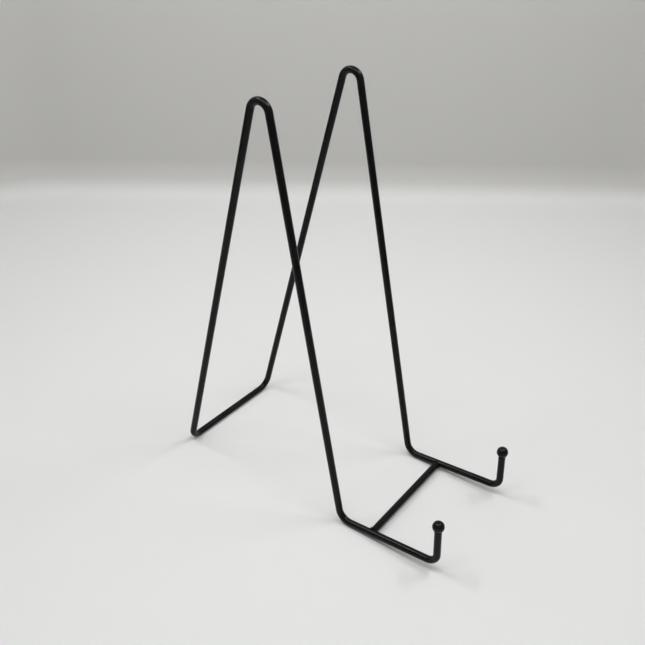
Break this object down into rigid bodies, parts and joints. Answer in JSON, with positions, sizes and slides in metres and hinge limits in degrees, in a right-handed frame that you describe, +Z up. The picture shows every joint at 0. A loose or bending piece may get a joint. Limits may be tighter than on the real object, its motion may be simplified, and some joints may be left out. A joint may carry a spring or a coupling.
{
  "type": "album stand",
  "caption": "Open stand bent from round black steel wire: leaning A-shaped sides, a bar across the back, and low toes that turn up into hooks with ball tips.",
  "frame": {"origin": "on the floor, at the middle of the stand's outer box", "axes": "+X across the stand, -Y to the front where the hooks are, +Z up"},
  "size_m": [0.1032, 0.2364, 0.3],
  "materials": {
    "black_coat": "satin black powder coat over steel, the same on the wire, the balls and the welds"
  },
  "bodies": {
    "root": {"frame_wire": "black_coat", "cross_brace": "black_coat", "left_ball_tip": "black_coat", "right_ball_tip": "black_coat", "left_ball_weld": "black_coat", "right_ball_weld": "black_coat", "left_brace_weld": "black_coat", "right_brace_weld": "black_coat"}
  },
  "joints": []
}
